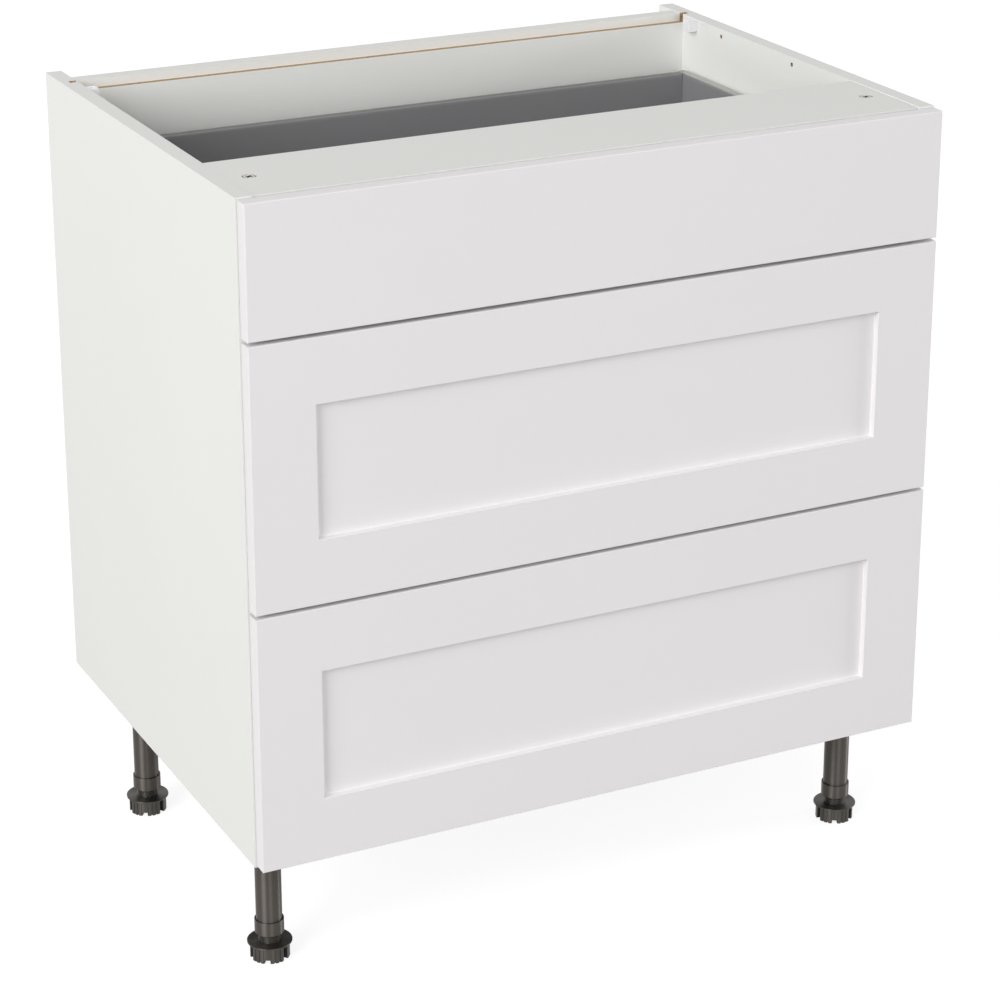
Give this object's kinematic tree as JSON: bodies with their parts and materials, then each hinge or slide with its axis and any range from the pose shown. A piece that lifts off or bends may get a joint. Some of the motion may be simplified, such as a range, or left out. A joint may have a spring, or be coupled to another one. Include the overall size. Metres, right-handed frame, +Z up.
{
  "type": "base cabinet with drawers",
  "caption": "Kitchen base cabinet with a shallow drawer over deep framed drawers, full extension runners, open top and adjustable screw feet.",
  "frame": {"origin": "on the floor, under the middle of the closed cabinet", "axes": "+Z up, -Y towards the user in front of the drawers, +X to the user's right"},
  "size_m": [0.8, 0.584, 0.87],
  "materials": {
    "white_board": "white melamine faced chipboard",
    "back_board": "white faced fibreboard with a raw brown edge",
    "front_lacquer": "off-white satin lacquer",
    "drawer_board": "pale grey melamine",
    "drawer_steel": "grey powder coat",
    "runner_steel": "zinc plated steel",
    "zinc": "zinc die casting",
    "beech": "raw beech",
    "white_plastic": "white moulded plastic",
    "leg_plastic": "dark moulded plastic",
    "foot_plastic": "dark moulded plastic"
  },
  "bodies": {
    "carcass": {"side_panel_left": "white_board", "side_panel_right": "white_board", "bottom_panel": "white_board", "front_rail": "white_board", "back_rail": "white_board", "back_panel": "back_board", "cam_locks": "zinc", "cam_bolts": "zinc", "dowels": "beech", "worktop_blocks": "white_plastic", "leg_socket_front_left": "leg_plastic", "leg_tube_front_left": "leg_plastic", "leg_socket_front_right": "leg_plastic", "leg_tube_front_right": "leg_plastic", "leg_socket_rear_left": "leg_plastic", "leg_tube_rear_left": "leg_plastic", "leg_socket_rear_right": "leg_plastic", "leg_tube_rear_right": "leg_plastic", "runner_base_bottom_left": "runner_steel", "runner_base_bottom_right": "runner_steel", "runner_base_middle_left": "runner_steel", "runner_base_middle_right": "runner_steel", "runner_base_top_left": "runner_steel", "runner_base_top_right": "runner_steel"},
    "foot_front_left": {"foot_front_left": "foot_plastic"},
    "foot_front_right": {"foot_front_right": "foot_plastic"},
    "foot_rear_left": {"foot_rear_left": "foot_plastic"},
    "foot_rear_right": {"foot_rear_right": "foot_plastic"},
    "drawer_bottom": {"front_bottom": "front_lacquer", "front_brackets_bottom": "drawer_steel", "drawer_side_bottom_left": "drawer_steel", "drawer_side_bottom_right": "drawer_steel", "drawer_back_bottom": "drawer_steel", "drawer_floor_bottom": "drawer_board", "drawer_rail_bottom_left": "runner_steel", "drawer_rail_bottom_right": "runner_steel"},
    "runner_slides_bottom": {"runner_slide_bottom_left": "runner_steel", "runner_slide_bottom_right": "runner_steel"},
    "drawer_middle": {"front_middle": "front_lacquer", "front_brackets_middle": "drawer_steel", "drawer_side_middle_left": "drawer_steel", "drawer_side_middle_right": "drawer_steel", "drawer_back_middle": "drawer_steel", "drawer_floor_middle": "drawer_board", "drawer_rail_middle_left": "runner_steel", "drawer_rail_middle_right": "runner_steel"},
    "runner_slides_middle": {"runner_slide_middle_left": "runner_steel", "runner_slide_middle_right": "runner_steel"},
    "drawer_top": {"front_top": "front_lacquer", "front_brackets_top": "drawer_steel", "drawer_side_top_left": "drawer_steel", "drawer_side_top_right": "drawer_steel", "drawer_back_top": "drawer_steel", "drawer_floor_top": "drawer_board", "drawer_rail_top_left": "runner_steel", "drawer_rail_top_right": "runner_steel"},
    "runner_slides_top": {"runner_slide_top_left": "runner_steel", "runner_slide_top_right": "runner_steel"}
  },
  "joints": [
    {"name": "drawer_bottom_pull", "type": "slide", "parent": "carcass", "child": "drawer_bottom", "axis": [0, -1, 0], "range_m": [0, 0.45]},
    {"name": "runner_slides_bottom_travel", "type": "slide", "parent": "carcass", "child": "runner_slides_bottom", "axis": [0, -1, 0], "range_m": [0, 0.225]},
    {"name": "drawer_middle_pull", "type": "slide", "parent": "carcass", "child": "drawer_middle", "axis": [0, -1, 0], "range_m": [0, 0.45]},
    {"name": "runner_slides_middle_travel", "type": "slide", "parent": "carcass", "child": "runner_slides_middle", "axis": [0, -1, 0], "range_m": [0, 0.225]},
    {"name": "drawer_top_pull", "type": "slide", "parent": "carcass", "child": "drawer_top", "axis": [0, -1, 0], "range_m": [0, 0.45]},
    {"name": "runner_slides_top_travel", "type": "slide", "parent": "carcass", "child": "runner_slides_top", "axis": [0, -1, 0], "range_m": [0, 0.225]},
    {"name": "foot_front_left_screw", "type": "slide", "parent": "carcass", "child": "foot_front_left", "axis": [0, 0, -1], "range_m": [-0.0095, 0.02]},
    {"name": "foot_front_right_screw", "type": "slide", "parent": "carcass", "child": "foot_front_right", "axis": [0, 0, -1], "range_m": [-0.0095, 0.02]},
    {"name": "foot_rear_left_screw", "type": "slide", "parent": "carcass", "child": "foot_rear_left", "axis": [0, 0, -1], "range_m": [-0.0095, 0.02]},
    {"name": "foot_rear_right_screw", "type": "slide", "parent": "carcass", "child": "foot_rear_right", "axis": [0, 0, -1], "range_m": [-0.0095, 0.02]}
  ],
  "couplings": [
    {"joint": "runner_slides_bottom_travel", "follows": "drawer_bottom_pull", "ratio": 0.5},
    {"joint": "runner_slides_middle_travel", "follows": "drawer_middle_pull", "ratio": 0.5},
    {"joint": "runner_slides_top_travel", "follows": "drawer_top_pull", "ratio": 0.5}
  ]
}
